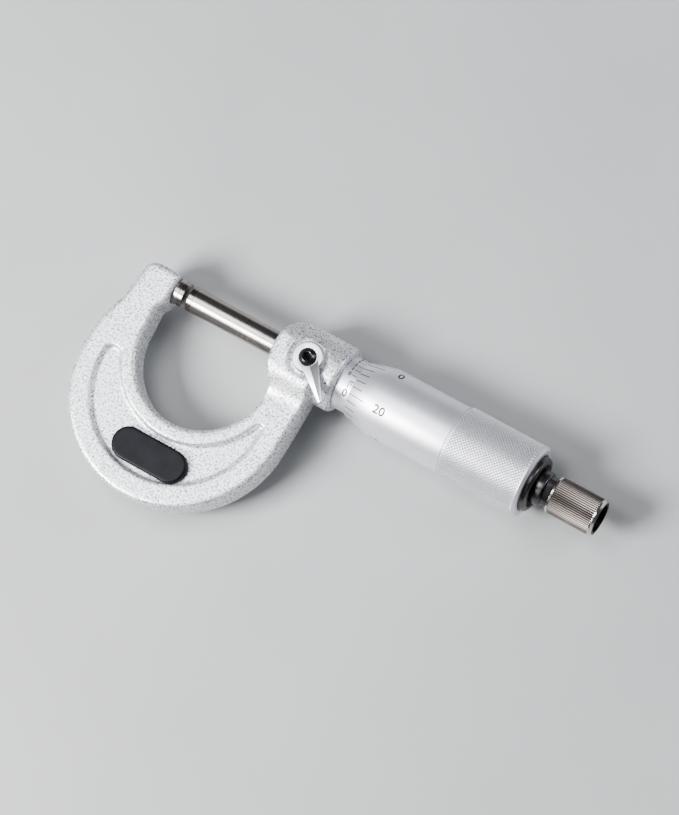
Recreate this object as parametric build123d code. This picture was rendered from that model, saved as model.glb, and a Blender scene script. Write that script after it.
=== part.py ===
from build123d import *
import os

# Outside micrometer, 0 to 1 inch, in millimetres.
# X runs along the spindle, from the anvil towards the ratchet. Y is in the plane of the frame,
# and the bow hangs to -Y. Z comes out of the side that carries the lock lever.
# The origin is the centre of the anvil's measuring face.

# ---- fits ----
RUN = 0.04                # radial clearance of running fits
SEAT = 0.02               # radial clearance of fixed fits
CARRY = 0.08              # radial clearance between the spindle and what it carries
FACE_GAP = 0.05           # end clearance between seated pieces
EDGE = 0.3                # small broken edge

# ---- measuring parts ----
SPINDLE_D = 6.35          # spindle and anvil
RANGE = 25.4              # full travel
OPENING = 1.181           # gap between the measuring faces as modelled, a reading of 0.0465 inch
TIP_T = 1.5               # thickness of the carbide tips
THREAD_STEP = 0.625       # how far the spindle thread stands over the shank
THREAD_RELIEF = 0.3       # room round the thread where the sleeve is relieved

# ---- throat and bow ----
FRAME_T = 9.0             # thickness of the bow
ARM_FACE_X = -2.6         # face that the anvil stands out of
ARM_L = 9.2               # the arm's length along X at its top
ARM_WALL = 0.525          # metal over the anvil's bore
ARM_LEAN = 1.3            # how far the arm's back leans out at ARM_BEND_Y
ARM_BEND_Y = -7.5
SHOULDER_Y = -14.5        # where the arm's back meets the bow's round
SHOULDER_IN = 0.5
NOSE_CLEAR = 2.0          # from the open spindle's face to the hub
THROAT_BULGE_ARM = 1.2    # how far the throat's round goes past the arm's face
THROAT_BULGE_HUB = 3.4    # how far it goes past the hub's nose
THROAT_DROP = 12.0        # from the spindle's axis down to the centre of the throat's round
BOW_DROP = 22.0           # and to the centre of the bow's
ARM_W = 12.3              # widest, beside the throat on the arm's side
NECK_W = 9.9              # and on the hub's side
FRAME_EDGE = 1.2          # rounding along the bow's outline
ARM_TOP_ROUND = 3.0
ARM_FACE_ROUND = 1.2
ARM_BEND_ROUND = 12.0
SHOULDER_ROUND = 14.0
POCKET_D = 1.2            # depth of the crescent pocket on each side
POCKET_RIM_OUT = 5.8      # width of the raised rim outside the pocket
POCKET_RIM_IN = 3.9       # width of the raised rim beside the throat
POCKET_TOP_UP = 2.5       # the pocket's top edge over the bow's centre
POCKET_CORNER = 1.6

# ---- hub ----
HUB_L = 18.4
HUB_WALL = 3.1            # metal round the inner sleeve
HUB_CHAMFER = 0.7
PAD_L = 13.2              # from the nose to the end of the lock pad
PAD_FLAT = 0.4            # how far the pad's flat lies under the round of the hub
PAD_LOW_Y = -4.0          # where the pad starts to run down to the bow
PAD_FOOT_Y = -9.0
NOSE_LEAN = 1.7           # how far the nose is drawn back at its top and bottom
NOSE_LOW_Y = -7.0
NOSE_HIGH_Y = 6.5
NOSE_TOP_L = 4.0
NECK_INSET = 6.0          # how far the neck reaches into the throat before it is cut
RAMP_L = 9.0

# ---- insulating plates ----
PLATE_L = 20.5
PLATE_W = 8.4
PLATE_T = 2.0
PLATE_X = 13.4
PLATE_UP = 0.1            # how far the plate sits over the middle of the pocket
PLATE_BEVEL = 0.5

# ---- sleeves ----
INNER_WALL = 1.4          # inner sleeve, pressed into the hub
INNER_DEPTH = 14.3        # how far it goes into the hub
GUIDE_L = 10.5            # plain bearing at its front
INNER_TAIL = 4.6          # how far its threaded end stands out of the scale sleeve
TAIL_WALL = 1.1
TAIL_SLOT_L = 8.0
TAIL_SLOT_W = 0.6
TAIL_SLOTS = 3
NUT_L = 15.0              # length of the internal thread
SCALE_WALL = 1.35         # scale sleeve
SCALE_MARGIN = 2.0        # sleeve left past the last line
ZERO_FROM_HUB = 2.85      # zero line of the scale, from the hub's end
SPANNER_HOLE_R = 0.6
SPANNER_HOLE_D = 0.9
SPANNER_HOLE_X = 1.6      # from the sleeve's front
SPANNER_HOLE_TURN = -35
ADJUST_NUT_WALL = 1.4
ADJUST_NUT_L = 3.6
ADJUST_NUT_NOTCHES = 4

# ---- thimble ----
THIMBLE_GAP = 0.27        # round the scale sleeve
THIMBLE_WALL = 1.73
THIMBLE_LIP_T = 0.2
TAPER_L = 6.6
KNURL_PROUD = 0.4
KNURL_L = 21.4
KNURL_CHAMFER = 0.6
THIMBLE_TAIL = 23.2       # length past the travel
TAPER_SEAT_STEP = 0.2     # big end of the spindle's taper seat, under the thread
TAPER_SEAT_DROP = 0.5
CAP_WALL = 1.65           # thimble left round the cap's pocket
CAP_POCKET = 4.4          # depth of the thimble's end pocket
CAP_PROUD = 1.5
CAP_CHAMFER = 0.5
CAP_DISH = 0.8            # depth of the dish round the collar
CAP_DISH_W = 1.2

# ---- ratchet ----
STEM_SCREW_R = 2.0
STEM_SCREW_L = 9.0
STEM_SHANK_R = 2.5
COLLAR_R = 4.5
COLLAR_L = 2.5
NECK_R = 3.8
NECK_L = 1.5
KNOB_R = 4.75
KNOB_L = 12.8
KNOB_GAP = 0.1            # end clearance between neck and knob
KNOB_WALL = 1.15
KNOB_BORE_L = 7.2
KNOB_WEB = 2.4
KNOB_CHAMFER = 0.5
KNOB_LIP = 1.5            # rim round the end recess
POST_R = 1.6
POST_FLAT = 0.4           # how deep the key flat is cut into the post
TEETH = 12
TOOTH_H = 0.35
TOOTH_W = 0.5
TOOTH_GAP = 0.2           # clearance over the teeth while the ratchet slips
PLUNGER_L = 2.2
PLUNGER_GAP = 0.2         # radial clearance of the plunger in the knob
CLICK = 0.4               # travel of the ratchet plunger
WIRE_R = 0.3              # ratchet spring
COILS = 4
END_SCREW_R = 0.9
END_SCREW_L = 4.5
END_HEAD_GAP = 0.65       # round the screw's head
END_HEAD_H = 1.7
END_SLOT = 0.7            # width and depth of its slot

# ---- spindle lock ----
LOCK_FROM_NOSE = 9.6
SPOT_DEPTH = 0.9          # spot face for the lever's eye
SPOT_GAP = 0.9
EYE_R = 4.0
EYE_T = 1.6
LEVER_L = 11.9            # pivot to tip
LEVER_ANGLE = -44.0
LEVER_TIP_W = 1.0
LEVER_ROOT_W = 4.4
LEVER_ROOT_X = 1.5
BLADE_LIFT = 0.2          # the blade's clearance over the pad
RIDGE_DROP = 1.5          # fall of the blade's two facets, one past each edge
STEM_R = 2.2
LAND_R = 1.8              # the stem's round land in the lever's eye
HEAD_R = 2.4
HEAD_H = 1.4
HEAD_GAP = 0.25
SOCKET_AF = 2.0
SOCKET_D = 0.9
LOCK_SCREW_R = 0.85
PLUG_R = 1.6

# ---- radii that follow ----
SPINDLE_R = SPINDLE_D / 2
THREAD_R = SPINDLE_R + THREAD_STEP
RELIEF_R = THREAD_R + THREAD_RELIEF
INNER_R = RELIEF_R + INNER_WALL
TAIL_R = THREAD_R + TAIL_WALL
ADJUST_NUT_R = TAIL_R + ADJUST_NUT_WALL
SCALE_R = INNER_R + SCALE_WALL
HUB_R = INNER_R + HUB_WALL
THIMBLE_BORE_R = SCALE_R + THIMBLE_GAP
THIMBLE_LIP_R = THIMBLE_BORE_R + THIMBLE_LIP_T
THIMBLE_R = THIMBLE_BORE_R + THIMBLE_WALL
KNURL_R = THIMBLE_R + KNURL_PROUD
TAPER_SEAT_R = THREAD_R - TAPER_SEAT_STEP
CAP_R = THIMBLE_R - CAP_WALL
KNOB_BORE_R = KNOB_R - KNOB_WALL
PLUNGER_R = KNOB_BORE_R - PLUNGER_GAP
END_HEAD_R = KNOB_R - KNOB_LIP - END_HEAD_GAP
SPOT_R = EYE_R + SPOT_GAP

# ---- places along X that follow ----
ARM_BACK_X = ARM_FACE_X - ARM_L
NOSE_X = RANGE + NOSE_CLEAR
HUB_END_X = NOSE_X + HUB_L
PAD_END_X = NOSE_X + PAD_L
LOCK_X = NOSE_X + LOCK_FROM_NOSE
ZERO_X = HUB_END_X + ZERO_FROM_HUB
INNER_X0 = HUB_END_X - INNER_DEPTH
GUIDE_END_X = INNER_X0 + GUIDE_L
SCALE_END_X = ZERO_X + RANGE + SCALE_MARGIN
INNER_END_X = SCALE_END_X + INNER_TAIL
NUT_X0 = INNER_END_X - NUT_L
THIMBLE_X0 = ZERO_X + OPENING
THIMBLE_X1 = THIMBLE_X0 + RANGE + THIMBLE_TAIL
WALL_X = INNER_END_X + OPENING + 1.0
SEAT_END_X = THIMBLE_X1 - CAP_POCKET
CAP_X1 = THIMBLE_X1 + CAP_PROUD
CAP_DISH_X = CAP_X1 - CAP_DISH
COLLAR_X1 = CAP_X1 + COLLAR_L
KNOB_X0 = COLLAR_X1 + NECK_L + KNOB_GAP
KNOB_X1 = KNOB_X0 + KNOB_L
WEB_X0 = KNOB_X0 + KNOB_BORE_L
WEB_X1 = WEB_X0 + KNOB_WEB
PLUNGER_X1 = WEB_X0 - 2 * TOOTH_H - TOOTH_GAP
PLUNGER_X0 = PLUNGER_X1 - PLUNGER_L

# ---- the bow's rounds, and heights that follow ----
THROAT_LEFT = ARM_FACE_X - THROAT_BULGE_ARM
THROAT_RIGHT = NOSE_X + THROAT_BULGE_HUB
THROAT_R = (THROAT_RIGHT - THROAT_LEFT) / 2
THROAT_CX = (THROAT_RIGHT + THROAT_LEFT) / 2
THROAT_CY = -THROAT_DROP
BOW_LEFT = THROAT_LEFT - ARM_W
BOW_RIGHT = THROAT_RIGHT + NECK_W
BOW_R = (BOW_RIGHT - BOW_LEFT) / 2
BOW_CX = (BOW_RIGHT + BOW_LEFT) / 2
BOW_CY = -BOW_DROP
ARM_TOP_Y = SPINDLE_R + ARM_WALL
POCKET_OUT_R = BOW_R - POCKET_RIM_OUT
POCKET_IN_R = THROAT_R + POCKET_RIM_IN
PLATE_Y = (BOW_CY - POCKET_OUT_R + THROAT_CY - POCKET_IN_R) / 2 + PLATE_UP
FACE_Z = FRAME_T / 2
FLOOR_Z = FACE_Z - POCKET_D
PAD_Z = HUB_R - PAD_FLAT
SPOT_Z = PAD_Z - SPOT_DEPTH
EYE_Z0 = SPOT_Z + FACE_GAP
EYE_Z1 = EYE_Z0 + EYE_T
HEAD_Z0 = EYE_Z1 + SEAT
HEAD_Z1 = HEAD_Z0 + HEAD_H


def rod(x0, x1, r0):
    """A solid round length along X."""
    return turned((x0, 0), (x1, 0), (x1, r0), (x0, r0))


def post(x, y, z0, z1, r):
    """A solid round length along Z."""
    return Pos(x, y, (z0 + z1) / 2) * Cylinder(r, z1 - z0)


def turned(*points):
    """A turned piece: its half outline of (x, r) points, spun about X."""
    return revolve(make_face(Polyline(*points, close=True)), Axis.X)


def nearest(sketch, x, y):
    """The outline's corner that lies nearest to a point."""
    return sketch.vertices().sort_by_distance((x, y, 0))[0]


def throat_sketch():
    """The opening between the anvil and the hub, as it is cut through the bow."""
    over = ARM_TOP_Y + HUB_R
    walls = Polygon(
        (THROAT_LEFT, THROAT_CY), (THROAT_LEFT - 0.3, -6.5), (ARM_FACE_X, -SPINDLE_R - 0.6),
        (ARM_FACE_X, over), (NOSE_X, over), (NOSE_X, -2), (NOSE_X + NOSE_LEAN, NOSE_LOW_Y),
        (THROAT_RIGHT, THROAT_CY), align=None)
    return Pos(THROAT_CX, THROAT_CY) * Circle(THROAT_R) + walls


def bow_sketch():
    """The flat outline of the frame: bow, anvil arm and the neck under the hub."""
    bend = (ARM_BACK_X - ARM_LEAN, ARM_BEND_Y)
    shoulder = (BOW_LEFT + SHOULDER_IN, SHOULDER_Y)
    arm = Polygon(
        (ARM_BACK_X, ARM_TOP_Y), bend, shoulder, (BOW_LEFT, BOW_CY), (0, BOW_CY), (0, ARM_TOP_Y),
        align=None)
    neck_x = NOSE_X - NECK_INSET
    neck = Polygon(
        (neck_x, BOW_CY), (BOW_RIGHT, BOW_CY), (BOW_RIGHT + 0.2, PAD_FOOT_Y), (PAD_END_X - 0.2, 0),
        (neck_x, 0), align=None)
    outline = Pos(BOW_CX, BOW_CY) * Circle(BOW_R) + arm + neck - throat_sketch()
    outline = fillet(nearest(outline, ARM_BACK_X, ARM_TOP_Y), ARM_TOP_ROUND)
    outline = fillet(nearest(outline, ARM_FACE_X, ARM_TOP_Y), ARM_FACE_ROUND)
    outline = fillet(nearest(outline, *bend), ARM_BEND_ROUND)
    return fillet(nearest(outline, *shoulder), SHOULDER_ROUND)


def pad_sketch():
    """The outline of the thick hub: its rounded nose, and the neck that it runs down into."""
    drawn_back = NOSE_X + NOSE_LEAN
    nose = make_face(
        ThreePointArc((drawn_back, NOSE_LOW_Y), (NOSE_X, 0), (drawn_back, NOSE_HIGH_Y)) +
        Polyline((drawn_back, NOSE_HIGH_Y), (NOSE_X + NOSE_TOP_L, HUB_R), (PAD_END_X, HUB_R),
                 (PAD_END_X, PAD_FOOT_Y), (drawn_back + 0.6, PAD_FOOT_Y), (drawn_back, NOSE_LOW_Y)))
    neck_x = NOSE_X - NECK_INSET
    foot_y = PAD_LOW_Y - RAMP_L - 3
    strip = Pos((neck_x + BOW_RIGHT + 5) / 2, (foot_y + PAD_LOW_Y - 4) / 2) * Rectangle(
        BOW_RIGHT + 5 - neck_x, PAD_LOW_Y - 4 - foot_y)
    return nose + (bow_sketch() & strip)


def hub_side_profile():
    """The hub seen along X: round, with a flat lock pad in front that ramps down to the bow."""
    ramp_end_y = PAD_LOW_Y - RAMP_L
    middle = (PAD_LOW_Y - RAMP_L / 2, (PAD_Z + FACE_Z) / 2)
    ramp = Spline(
        (PAD_LOW_Y, PAD_Z), middle, (ramp_end_y, FACE_Z), tangents=[(-1, 0), (-1, 0)])
    shoulder = make_face(
        Polyline((0, 0), (0, PAD_Z), (PAD_LOW_Y, PAD_Z)) + ramp +
        Polyline((ramp_end_y, FACE_Z), (ramp_end_y, 0), (0, 0)))
    round_hub = Circle(HUB_R) & (Pos(0, PAD_Z - 2 * HUB_R) * Rectangle(3 * HUB_R, 4 * HUB_R))
    return shoulder + round_hub


def pocket_sketch():
    """The crescent pocket: between the rim along the outside and the rim beside the throat."""
    outer = Pos(BOW_CX, BOW_CY) * Circle(POCKET_OUT_R)
    inner = Pos(THROAT_CX, THROAT_CY) * Circle(POCKET_IN_R)
    below = Pos(BOW_CX, BOW_CY + POCKET_TOP_UP - BOW_R) * Rectangle(3 * BOW_R, 2 * BOW_R)
    crescent = (outer - inner) & below
    left_end = crescent.vertices().group_by(Axis.Y)[-1].sort_by(Axis.X)[:2]
    return fillet(left_end, POCKET_CORNER)


def frame():
    """The cast frame: bow, anvil arm and hub in one piece, with its bores and pockets."""
    bow = extrude(bow_sketch(), FACE_Z, both=True)
    bow = fillet(bow.edges().filter_by(Plane.XY), FRAME_EDGE)
    neck_x = NOSE_X - NECK_INSET
    side = Plane(origin=(neck_x, 0, 0), x_dir=(0, 1, 0), z_dir=(1, 0, 0)) * hub_side_profile()
    pad = extrude(pad_sketch(), HUB_R, both=True) & extrude(side, HUB_END_X - neck_x)
    hub = turned(
        (INNER_X0, 0), (HUB_END_X, 0), (HUB_END_X, HUB_R - HUB_CHAMFER),
        (HUB_END_X - HUB_CHAMFER, HUB_R), (INNER_X0, HUB_R))
    body = bow + pad + hub
    pocket = extrude(pocket_sketch(), POCKET_D + 1)
    body -= Pos(0, 0, FLOOR_Z) * pocket
    body -= Pos(0, 0, -FACE_Z - 1) * pocket
    body -= rod(ARM_BACK_X + 1.8, ARM_FACE_X + 1, SPINDLE_R + SEAT)
    body -= rod(NOSE_X - 1, INNER_X0 + 1, SPINDLE_R + 0.3)
    body -= rod(INNER_X0, HUB_END_X + 1, INNER_R + SEAT)
    body -= post(LOCK_X, 0, SPOT_Z, HUB_R + 1, SPOT_R)
    body -= post(LOCK_X, 0, 0, SPOT_Z + 1, STEM_R + RUN)
    return body


def insulating_plate(side):
    """A moulded heat-insulating plate, bedded in the pocket and standing a little proud."""
    outline = Pos(PLATE_X, PLATE_Y) * SlotOverall(PLATE_L, PLATE_W)
    plate = extrude(outline, PLATE_T)
    plate = chamfer(plate.faces().sort_by(Axis.Z)[-1].edges(), PLATE_BEVEL)
    plate = Pos(0, 0, FLOOR_Z) * plate
    return plate if side > 0 else mirror(plate, Plane.XY)


def anvil():
    """The fixed measuring pin, pressed into the arm."""
    return rod(ARM_BACK_X + 1.9, -TIP_T, SPINDLE_R)


def anvil_carbide_tip():
    return rod(-TIP_T, 0, SPINDLE_R)


def spindle_carbide_tip():
    return rod(OPENING, OPENING + TIP_T, SPINDLE_R)


def spindle():
    """Ground spindle: plain shank, thread, and a taper seat that carries the thimble."""
    thread_x0 = GUIDE_END_X + OPENING + 2.5
    body = turned(
        (OPENING + TIP_T, 0), (SEAT_END_X, 0), (SEAT_END_X, TAPER_SEAT_R - TAPER_SEAT_DROP),
        (WALL_X, TAPER_SEAT_R), (WALL_X - 0.3, THREAD_R), (thread_x0, THREAD_R),
        (thread_x0 - 0.5, SPINDLE_R), (OPENING + TIP_T, SPINDLE_R))
    return body - rod(SEAT_END_X - STEM_SCREW_L - 1, SEAT_END_X + 1, STEM_SCREW_R + CARRY)


def inner_sleeve():
    """Fixed sleeve in the hub: front bearing, relieved middle, threaded and slotted tail."""
    tail_x = SCALE_END_X + 0.3
    body = turned(
        (INNER_X0, SPINDLE_R + RUN), (GUIDE_END_X, SPINDLE_R + RUN), (GUIDE_END_X + 0.8, RELIEF_R),
        (NUT_X0, RELIEF_R), (NUT_X0, THREAD_R + RUN), (INNER_END_X, THREAD_R + RUN),
        (INNER_END_X, TAIL_R), (tail_x, TAIL_R), (tail_x, INNER_R), (INNER_X0, INNER_R))
    body -= post(LOCK_X, 0, 0, INNER_R + 1, PLUG_R + RUN)
    slot = Pos(INNER_END_X - TAIL_SLOT_L / 2 + 0.5, 0, TAIL_R) * Box(
        TAIL_SLOT_L + 1, TAIL_SLOT_W, 2 * TAIL_R)
    for turn in range(TAIL_SLOTS):
        body -= Rot(60 + 360 / TAIL_SLOTS * turn, 0, 0) * slot
    return body


def scale_sleeve():
    """Outer sleeve that carries the scale. It turns on the inner sleeve to set the zero."""
    front = HUB_END_X + FACE_GAP
    body = turned(
        (front, INNER_R + RUN), (SCALE_END_X, INNER_R + RUN), (SCALE_END_X, SCALE_R - EDGE),
        (SCALE_END_X - EDGE, SCALE_R), (front, SCALE_R))
    hole = post(front + SPANNER_HOLE_X, 0, -SCALE_R - 1, -SCALE_R + SPANNER_HOLE_D, SPANNER_HOLE_R)
    return body - Rot(SPANNER_HOLE_TURN, 0, 0) * hole


def adjusting_nut():
    """Ring nut on the slotted tail, which takes up wear in the thread."""
    x0 = SCALE_END_X + 0.6
    x1 = x0 + ADJUST_NUT_L
    ring = turned(
        (x0, TAIL_R + SEAT), (x1, TAIL_R + SEAT), (x1, ADJUST_NUT_R), (x0, ADJUST_NUT_R))
    notch = Pos(x1, 0, ADJUST_NUT_R) * Box(2.0, 1.4, 1.6)
    for turn in range(ADJUST_NUT_NOTCHES):
        ring -= Rot(360 / ADJUST_NUT_NOTCHES * turn, 0, 0) * notch
    return ring


def thimble():
    """Graduated barrel with a bevelled lip, a knurled grip and a taper bore on the spindle."""
    knurl_x0 = THIMBLE_X1 - KNURL_L
    slope = TAPER_SEAT_DROP / (SEAT_END_X - WALL_X)
    bore_x = WALL_X + 0.3
    return turned(
        (THIMBLE_X0, THIMBLE_BORE_R), (THIMBLE_X0, THIMBLE_LIP_R), (THIMBLE_X0 + TAPER_L, THIMBLE_R),
        (knurl_x0 - 0.2, THIMBLE_R), (knurl_x0, KNURL_R - 0.2), (knurl_x0 + 0.2, KNURL_R),
        (THIMBLE_X1 - KNURL_CHAMFER, KNURL_R), (THIMBLE_X1, KNURL_R - KNURL_CHAMFER),
        (THIMBLE_X1, CAP_R + EDGE + SEAT), (THIMBLE_X1 - EDGE, CAP_R + SEAT),
        (SEAT_END_X, CAP_R + SEAT), (SEAT_END_X, TAPER_SEAT_R - TAPER_SEAT_DROP + CARRY),
        (bore_x, TAPER_SEAT_R - (bore_x - WALL_X) * slope + CARRY), (bore_x, THIMBLE_BORE_R))


def thimble_cap():
    """Stepped steel cap in the end of the thimble, clamped by the ratchet stem."""
    x0 = SEAT_END_X + FACE_GAP
    bore = STEM_SHANK_R + SEAT
    return turned(
        (x0, bore), (x0, CAP_R), (CAP_X1 - CAP_CHAMFER, CAP_R), (CAP_X1, CAP_R - CAP_CHAMFER),
        (CAP_X1, COLLAR_R + CAP_DISH_W), (CAP_DISH_X, COLLAR_R + CAP_DISH_W / 2), (CAP_DISH_X, bore))


def ratchet_stem():
    """Screw that clamps the thimble on the spindle, with the post that the knob turns on."""
    screw_x0 = SEAT_END_X - STEM_SCREW_L
    shank_x0 = SEAT_END_X + 2 * FACE_GAP
    neck_x1 = KNOB_X0 - KNOB_GAP
    post_end = WEB_X1 - 0.2
    body = turned(
        (screw_x0, 0), (post_end, 0), (post_end, POST_R), (neck_x1, POST_R), (neck_x1, NECK_R),
        (COLLAR_X1, NECK_R), (COLLAR_X1, COLLAR_R - EDGE), (COLLAR_X1 - EDGE, COLLAR_R),
        (CAP_DISH_X, COLLAR_R), (CAP_DISH_X, STEM_SHANK_R), (shank_x0, STEM_SHANK_R),
        (shank_x0, STEM_SCREW_R), (screw_x0, STEM_SCREW_R))
    flat = Pos((KNOB_X0 + WEB_X0) / 2, 0, POST_R - POST_FLAT + 1) * Box(KNOB_BORE_L, 4, 2)
    tapped = rod(post_end - 5, post_end + 1, END_SCREW_R + SEAT)
    return body - flat - tapped


def tooth_ring(x, height):
    """Radial teeth on the face at x, standing towards +X for a positive height."""
    r_in = POST_R + TOOTH_W
    r_out = KNOB_BORE_R - TOOTH_W
    tooth = Pos(x + height / 2, 0, (r_in + r_out) / 2) * Box(abs(height), TOOTH_W, r_out - r_in)
    return [Rot(360 / TEETH * turn, 0, 0) * tooth for turn in range(TEETH)]


def ratchet_plunger():
    """Spring-loaded clutch ring, keyed to the post by a flat."""
    ring = rod(PLUNGER_X0, PLUNGER_X1, PLUNGER_R)
    for tooth in tooth_ring(PLUNGER_X1, TOOTH_H):
        ring += tooth
    key = rod(PLUNGER_X0 - 1, PLUNGER_X1 + 1, POST_R + CARRY)
    key -= Pos(PLUNGER_X1, 0, POST_R - POST_FLAT + 1 + CARRY) * Box(3 * PLUNGER_L, 4, 2)
    return ring - key


def ratchet_spring():
    """Short compression spring between the neck and the plunger."""
    x0 = KNOB_X0 + EDGE + WIRE_R
    length = PLUNGER_X0 - CLICK - 0.2 - WIRE_R - x0
    path = Helix(pitch=length / COILS, height=length, radius=(POST_R + KNOB_BORE_R) / 2)
    start = Plane(origin=path @ 0, z_dir=path % 0)
    coil = sweep(start * Circle(WIRE_R), path=path, is_frenet=True)
    return Pos(x0, 0, 0) * (Rot(0, 90, 0) * coil)


def ratchet_knob():
    """Friction knob: teeth inside its web, and a recess for the end screw."""
    lead_in = 0.35
    body = turned(
        (KNOB_X0, KNOB_BORE_R), (KNOB_X0, KNOB_R - lead_in), (KNOB_X0 + lead_in, KNOB_R),
        (KNOB_X1 - KNOB_CHAMFER, KNOB_R), (KNOB_X1, KNOB_R - KNOB_CHAMFER),
        (KNOB_X1, KNOB_R - KNOB_LIP + EDGE), (WEB_X1, KNOB_R - KNOB_LIP), (WEB_X1, POST_R + RUN),
        (WEB_X0, POST_R + RUN), (WEB_X0, KNOB_BORE_R))
    for tooth in tooth_ring(WEB_X0, -TOOTH_H):
        body += tooth
    return body


def ratchet_end_screw():
    """Slotted cheese-head screw that keeps the knob on its post."""
    x0 = WEB_X1 + 0.08
    x1 = x0 + END_HEAD_H
    head = turned(
        (x0, 0), (x1, 0), (x1, END_HEAD_R - EDGE), (x1 - EDGE, END_HEAD_R), (x0, END_HEAD_R))
    shank = rod(WEB_X1 - END_SCREW_L, x0 + 0.1, END_SCREW_R)
    slot = Pos(x1, 0, 0) * Box(2 * END_SLOT, 4 * END_HEAD_R, END_SLOT)
    return head + shank - slot


def lock_plug():
    """Brass plug that the lock stem presses on the spindle."""
    return post(LOCK_X, 0, SPINDLE_R + FACE_GAP, INNER_R, PLUG_R)


def lock_stem():
    """Threaded stem under the lever, with a round land in the lever's eye."""
    body = post(LOCK_X, 0, INNER_R + FACE_GAP, SPOT_Z, STEM_R)
    body += post(LOCK_X, 0, SPOT_Z - 0.1, EYE_Z1 - 0.1, LAND_R)
    return body - post(LOCK_X, 0, SPOT_Z - 1.2, EYE_Z1 + 1, LOCK_SCREW_R + SEAT)


def lock_lever():
    """Flat eye with a tapering, ridged blade."""
    eye = Pos(0, 0, EYE_Z0) * extrude(Circle(EYE_R), EYE_T)
    eye = chamfer(eye.faces().sort_by(Axis.Z)[-1].edges(), 0.4)
    root, tip = LEVER_ROOT_W / 2, LEVER_TIP_W / 2
    outline = Polygon(
        (LEVER_ROOT_X, -root), (LEVER_L, -tip), (LEVER_L, tip), (LEVER_ROOT_X, root), align=None)
    blade_z = EYE_Z0 + SPOT_DEPTH + BLADE_LIFT
    blade = Pos(0, 0, blade_z) * extrude(outline, EYE_T)
    top = blade_z + EYE_T
    side = root + 1
    over_ridge = Polyline(
        (side, top - RIDGE_DROP), (0, top), (-side, top - RIDGE_DROP), (-side, top + 2),
        (side, top + 2), close=True)
    blade -= extrude(Plane.YZ * make_face(over_ridge), LEVER_L + 2)
    lever = Pos(LOCK_X, 0, 0) * (Rot(0, 0, LEVER_ANGLE) * (eye + blade))
    lever -= post(LOCK_X, 0, EYE_Z0 - 1, EYE_Z1 + 3, LAND_R + SEAT)
    return lever - post(LOCK_X, 0, EYE_Z1, EYE_Z1 + 4, HEAD_R + HEAD_GAP)


def lock_lever_screw():
    """Blackened button-head screw with a hexagon socket."""
    dome_r = (HEAD_R ** 2 + HEAD_H ** 2) / (2 * HEAD_H)
    dome = Pos(LOCK_X, 0, HEAD_Z1 - dome_r) * Sphere(dome_r)
    head = dome & post(LOCK_X, 0, HEAD_Z0, HEAD_Z1 + 1, HEAD_R)
    head += post(LOCK_X, 0, SPOT_Z - 0.8, EYE_Z1 + 0.3, LOCK_SCREW_R)
    socket = extrude(RegularPolygon(SOCKET_AF / 2, 6, major_radius=False), 3)
    return head - Pos(LOCK_X, 0, HEAD_Z1 - SOCKET_D) * socket


NODES = {
    "frame": frame,
    "anvil": anvil,
    "anvil_carbide_tip": anvil_carbide_tip,
    "front_insulating_plate": lambda: insulating_plate(1),
    "back_insulating_plate": lambda: insulating_plate(-1),
    "inner_sleeve": inner_sleeve,
    "adjusting_nut": adjusting_nut,
    "scale_sleeve": scale_sleeve,
    "spindle": spindle,
    "spindle_carbide_tip": spindle_carbide_tip,
    "thimble": thimble,
    "thimble_cap": thimble_cap,
    "ratchet_stem": ratchet_stem,
    "ratchet_plunger": ratchet_plunger,
    "ratchet_spring": ratchet_spring,
    "ratchet_knob": ratchet_knob,
    "ratchet_end_screw": ratchet_end_screw,
    "lock_plug": lock_plug,
    "lock_stem": lock_stem,
    "lock_lever": lock_lever,
    "lock_lever_screw": lock_lever_screw,
}

os.makedirs("parts", exist_ok=True)
for name, make in NODES.items():
    export_step(make(), f"parts/{name}.step")
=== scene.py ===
import math

import bmesh
import bpy
from mathutils import Matrix, Quaternion, Vector, noise


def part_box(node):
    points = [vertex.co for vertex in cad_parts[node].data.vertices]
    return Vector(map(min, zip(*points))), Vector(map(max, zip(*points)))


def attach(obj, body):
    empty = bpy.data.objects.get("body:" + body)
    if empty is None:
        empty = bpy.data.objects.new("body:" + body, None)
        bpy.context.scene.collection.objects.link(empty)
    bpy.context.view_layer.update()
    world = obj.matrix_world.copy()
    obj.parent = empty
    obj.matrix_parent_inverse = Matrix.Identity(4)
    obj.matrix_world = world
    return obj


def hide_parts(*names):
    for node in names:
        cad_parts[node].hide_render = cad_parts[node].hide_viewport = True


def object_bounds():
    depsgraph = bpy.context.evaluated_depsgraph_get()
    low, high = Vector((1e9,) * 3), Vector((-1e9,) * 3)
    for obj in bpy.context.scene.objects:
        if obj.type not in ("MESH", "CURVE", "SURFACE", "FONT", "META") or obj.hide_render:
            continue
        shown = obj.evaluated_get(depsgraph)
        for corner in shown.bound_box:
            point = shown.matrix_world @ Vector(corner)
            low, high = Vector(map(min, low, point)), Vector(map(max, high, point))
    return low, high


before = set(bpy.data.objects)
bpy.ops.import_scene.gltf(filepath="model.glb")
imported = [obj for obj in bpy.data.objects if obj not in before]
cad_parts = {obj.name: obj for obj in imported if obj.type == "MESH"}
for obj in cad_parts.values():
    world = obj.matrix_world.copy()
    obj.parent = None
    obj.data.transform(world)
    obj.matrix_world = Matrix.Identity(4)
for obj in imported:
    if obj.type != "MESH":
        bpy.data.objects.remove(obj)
cad_low, cad_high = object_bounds()
scene = bpy.context.scene


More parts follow.
